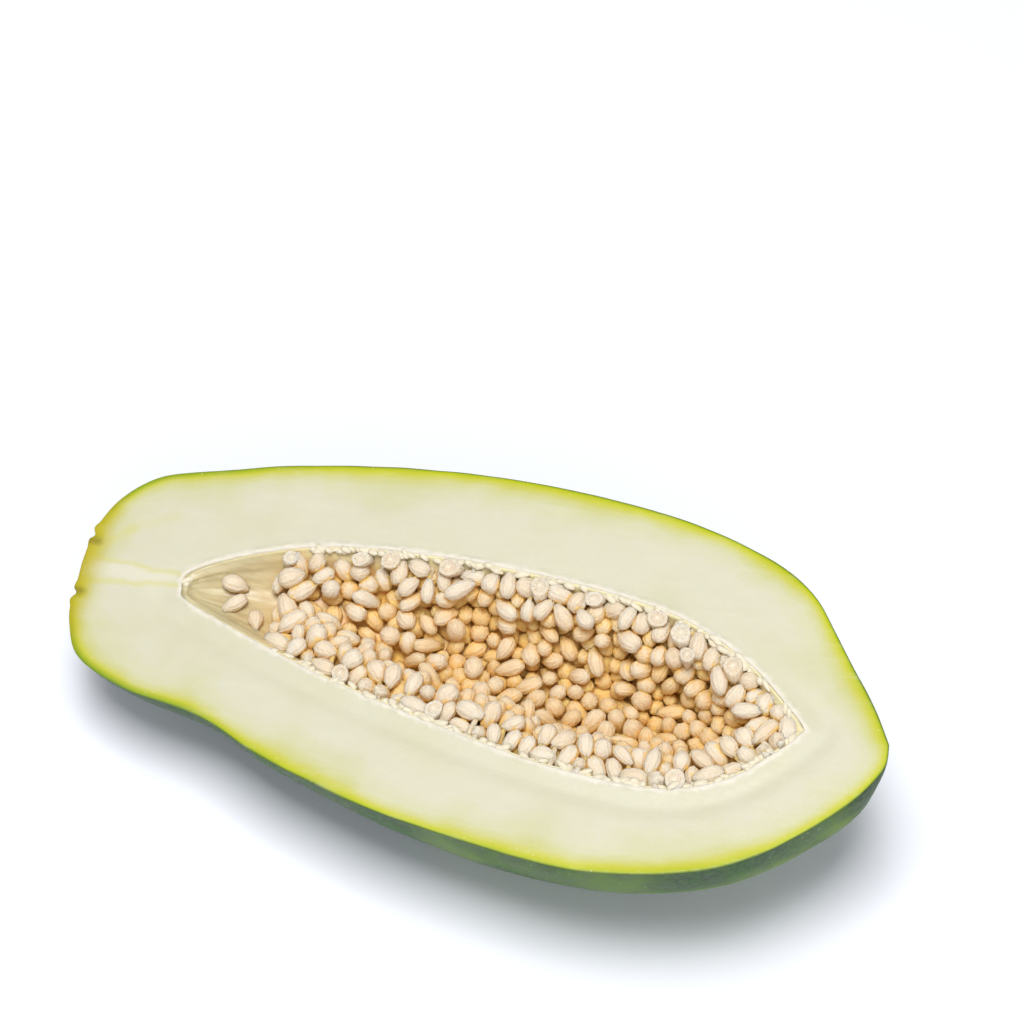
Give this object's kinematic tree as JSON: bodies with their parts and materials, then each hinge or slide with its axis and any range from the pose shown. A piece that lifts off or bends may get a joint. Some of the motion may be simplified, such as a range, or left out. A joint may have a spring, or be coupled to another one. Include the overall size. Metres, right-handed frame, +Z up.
{
  "type": "papaya half",
  "caption": "Green papaya cut lengthwise, lying cut face up: pale flesh with a thin green skin round a pointed hollow lined with cream seeds.",
  "frame": {"origin": "under the middle of the half, on the surface that it lies on", "axes": "+X from the stem end to the blossom end, +Y to the far side, +Z up, out of the cut face, which leans 7 degrees towards the stem end"},
  "size_m": [0.2236, 0.1074, 0.064],
  "materials": {
    "flesh": "moist cut flesh, pale cream green, with a thin smooth green skin",
    "seeds": "moist cream seed coats with a soft shine"
  },
  "bodies": {
    "root": {"flesh_and_skin": "flesh", "seed_bed": "seeds"}
  },
  "joints": []
}
